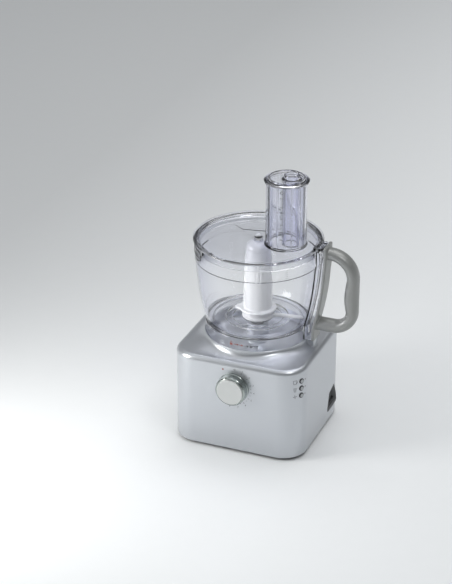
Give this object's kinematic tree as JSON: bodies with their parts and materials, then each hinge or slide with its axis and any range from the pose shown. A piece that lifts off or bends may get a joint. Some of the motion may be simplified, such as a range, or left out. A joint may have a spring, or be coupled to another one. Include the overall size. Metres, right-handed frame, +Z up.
{
  "type": "food processor",
  "caption": "Countertop food processor: silver motor base with a dial, clear bowl with a grey loop handle, lid with a feed tube and pusher, and a kneading tool.",
  "frame": {"origin": "the drive axis at the surface that the feet stand on", "axes": "+Z up, -Y towards the front with the dial, +X towards the handle"},
  "size_m": [0.264, 0.2236, 0.4258],
  "materials": {
    "silver_paint": "satin metallic paint on moulded plastic",
    "dark_plastic": "fine grain",
    "foot_rubber": "matt",
    "screw_steel": "zinc plated",
    "grip_plastic": "matt",
    "black_rubber": "matt",
    "lamination": "stacked sheet",
    "winding": "enamelled wire",
    "cast_bracket": "die cast",
    "bronze": "sintered",
    "carbon": "graphite",
    "bezel_dark": "gloss",
    "lens": "translucent",
    "board": "solder mask",
    "aluminium": "extruded",
    "capacitor": "gloss",
    "spring_steel": "drawn wire",
    "shaft_steel": "ground",
    "copper": "turned bars",
    "fan_plastic": "matt",
    "pulley_plastic": "moulded",
    "dial_chrome": "polished",
    "dial_satin": "brushed",
    "button_grey": "satin",
    "white_plastic": "moulded",
    "tool_white": "moulded",
    "clear_bowl": "clear moulded plastic, slightly blue",
    "clear_lid": "clear moulded plastic, slightly blue",
    "clear_pusher": "clear moulded plastic, slightly blue",
    "handle_grey": "satin, warm grey"
  },
  "bodies": {
    "power_unit": {"housing": "silver_paint", "base_cover": "dark_plastic", "feet": "foot_rubber", "cover_screws": "screw_steel", "side_grips": "grip_plastic", "cord_gland": "black_rubber", "motor_stator": "lamination", "field_coils": "winding", "lower_bracket": "cast_bracket", "upper_bracket": "cast_bracket", "motor_bushes": "bronze", "motor_bolts": "screw_steel", "motor_mounts": "black_rubber", "brush_holders": "bronze", "carbon_brushes": "carbon", "drive_belt": "black_rubber", "lower_bush": "bronze", "upper_bush": "bronze", "spindle_seal": "black_rubber", "speed_switch": "dark_plastic", "button_bezels": "bezel_dark", "button_switches": "dark_plastic", "indicator_lenses": "lens", "button_board": "board", "control_board": "board", "heat_sink": "aluminium", "suppression_capacitor": "capacitor", "interlock_switch": "dark_plastic", "plunger_spring": "spring_steel"},
    "rotor": {"motor_shaft": "shaft_steel", "motor_pulley": "dark_plastic", "armature": "lamination", "commutator": "copper", "cooling_fan": "fan_plastic"},
    "drive": {"drive_spindle": "shaft_steel", "drive_pulley": "pulley_plastic", "drive_coupling": "shaft_steel", "drive_shaft": "pulley_plastic"},
    "dial": {"speed_dial": "dial_chrome", "dial_face": "dial_satin", "dial_shaft": "shaft_steel"},
    "upper_button": {"upper_button": "button_grey"},
    "middle_button": {"middle_button": "button_grey"},
    "lower_button": {"lower_button": "button_grey"},
    "plunger": {"interlock_plunger": "dark_plastic"},
    "centre_bush": {"bowl_bush": "white_plastic"},
    "bowl": {"bowl": "clear_bowl", "handle": "handle_grey"},
    "rod": {"interlock_rod": "white_plastic"},
    "bearing": {"lid_bearing": "clear_lid"},
    "lid": {"lid": "clear_lid", "feed_tube": "clear_lid"},
    "pusher": {"pusher": "clear_pusher"},
    "small_pusher": {"small_pusher": "clear_pusher"},
    "tool": {"tool_hub": "tool_white", "tool_insert": "tool_white", "tool_cap": "tool_white"}
  },
  "joints": [
    {"name": "bowl_lift", "type": "slide", "parent": "power_unit", "child": "centre_bush", "axis": [0, 0, 1], "range_m": [0, 0.16]},
    {"name": "bowl_twist", "type": "hinge", "parent": "centre_bush", "child": "bowl", "pos_m": [0, 0, 0.19], "axis": [0, 0, 1], "range_deg": [0, 25]},
    {"name": "tool_spin", "type": "hinge", "parent": "centre_bush", "child": "tool", "pos_m": [0, 0, 0.2], "axis": [0, 0, 1], "continuous": true},
    {"name": "motor_spin", "type": "hinge", "parent": "power_unit", "child": "rotor", "pos_m": [-0.05, 0.048, 0.08], "axis": [0, 0, 1], "continuous": true},
    {"name": "drive_spin", "type": "hinge", "parent": "power_unit", "child": "drive", "pos_m": [0, 0, 0.1], "axis": [0, 0, 1], "continuous": true},
    {"name": "dial_turn", "type": "hinge", "parent": "power_unit", "child": "dial", "pos_m": [0, -0.1, 0.112], "axis": [0, 1, 0], "range_deg": [-25, 210]},
    {"name": "lid_lift", "type": "slide", "parent": "bowl", "child": "bearing", "axis": [0, 0, 1], "range_m": [0, 0.13]},
    {"name": "lid_twist", "type": "hinge", "parent": "bearing", "child": "lid", "pos_m": [0, 0, 0.314], "axis": [0, 0, 1], "range_deg": [0, 30]},
    {"name": "pusher_slide", "type": "slide", "parent": "lid", "child": "pusher", "axis": [0, 0, 1], "range_m": [0, 0.115]},
    {"name": "small_pusher_slide", "type": "slide", "parent": "pusher", "child": "small_pusher", "axis": [0, 0, 1], "range_m": [0, 0.12]},
    {"name": "rod_slide", "type": "slide", "parent": "bowl", "child": "rod", "axis": [0, 0, 1], "range_m": [0, 0.00405]},
    {"name": "plunger_slide", "type": "slide", "parent": "power_unit", "child": "plunger", "axis": [0, 0, 1], "range_m": [0, 0.00405], "deforming": ["plunger_spring"]},
    {"name": "upper_button_press", "type": "slide", "parent": "power_unit", "child": "upper_button", "axis": [-0.891, 0.454, 0], "range_m": [0, 0.0012], "stiffness_N_per_m": 300, "springref_m": -0.001},
    {"name": "middle_button_press", "type": "slide", "parent": "power_unit", "child": "middle_button", "axis": [-0.891, 0.454, 0], "range_m": [0, 0.0012], "stiffness_N_per_m": 300, "springref_m": -0.001},
    {"name": "lower_button_press", "type": "slide", "parent": "power_unit", "child": "lower_button", "axis": [-0.891, 0.454, 0], "range_m": [0, 0.0012], "stiffness_N_per_m": 300, "springref_m": -0.001}
  ],
  "couplings": [
    {"joint": "drive_spin", "follows": "motor_spin", "ratio": 0.16667},
    {"joint": "tool_spin", "follows": "motor_spin", "ratio": 0.16667},
    {"joint": "rod_slide", "follows": "lid_twist", "m_per_rad": 0.0076394},
    {"joint": "plunger_slide", "follows": "lid_twist", "m_per_rad": 0.0076394}
  ]
}
